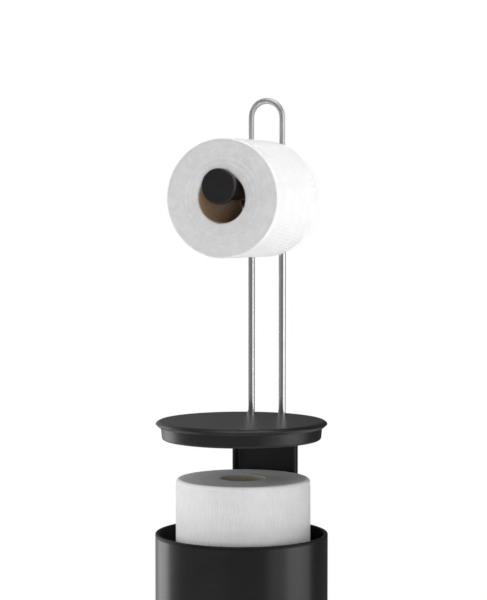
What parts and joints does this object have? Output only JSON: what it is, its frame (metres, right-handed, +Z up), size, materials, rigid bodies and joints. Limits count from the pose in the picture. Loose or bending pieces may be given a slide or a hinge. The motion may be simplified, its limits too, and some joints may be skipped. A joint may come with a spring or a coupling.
{
  "type": "toilet paper holder",
  "caption": "Free-standing toilet paper holder: round canister, lift-out lid with looped rod handle, roll arm, and a spine with a tray for spare rolls.",
  "frame": {"origin": "centre of the base, on the floor the holder stands on", "axes": "+Z up along the canister's axis; the roll arm points to -Y; the rods and the spine are at +Y"},
  "size_m": [0.1676, 0.1676, 0.8175],
  "materials": {
    "canister_coat": "satin black powder coat",
    "black_plastic": "fine-textured matte black moulding",
    "polished_steel": "polished stainless tube",
    "satin_steel": "satin stainless rod",
    "plated_steel": "zinc plated",
    "cast_weight": "rough as cast",
    "foot_rubber": "matte",
    "tissue": "soft embossed white tissue",
    "core_board": "plain brown board"
  },
  "bodies": {
    "canister": {"canister_wall": "canister_coat", "rim_ring": "black_plastic", "canister_floor": "canister_coat", "base_cover": "black_plastic", "ballast_disc": "cast_weight", "foot_ring": "foot_rubber", "base_screws": "plated_steel", "floor_nuts": "plated_steel"},
    "lift_out": {"lid_cap": "black_plastic", "lid_liner": "black_plastic", "spine": "black_plastic", "spine_screws": "plated_steel", "tray": "black_plastic", "tray_screws": "plated_steel", "rod_left": "polished_steel", "rod_right": "polished_steel", "rod_insert_left": "plated_steel", "rod_insert_right": "plated_steel", "lid_screws": "plated_steel", "lid_washers": "plated_steel", "handle_loop": "satin_steel", "arm_bracket": "black_plastic", "clamp_plate": "black_plastic", "clamp_screws": "plated_steel", "arm_bolt": "plated_steel", "arm_core": "plated_steel", "arm_sleeve": "black_plastic", "arm_screw": "plated_steel", "end_cap": "black_plastic", "spare_roll_lower_paper": "tissue", "spare_roll_lower_core": "core_board", "spare_roll_middle_paper": "tissue", "spare_roll_middle_core": "core_board", "spare_roll_upper_paper": "tissue", "spare_roll_upper_core": "core_board"},
    "roll_in_use": {"front_roll_paper": "tissue", "front_roll_core": "core_board"}
  },
  "joints": [
    {"name": "lift", "type": "slide", "parent": "canister", "child": "lift_out", "axis": [0, 0, 1], "range_m": [-0.1032, 0.28]},
    {"name": "roll_spin", "type": "hinge", "parent": "lift_out", "child": "roll_in_use", "pos_m": [0, 0.0036, 0.7183], "axis": [0, -1, 0], "continuous": true}
  ]
}
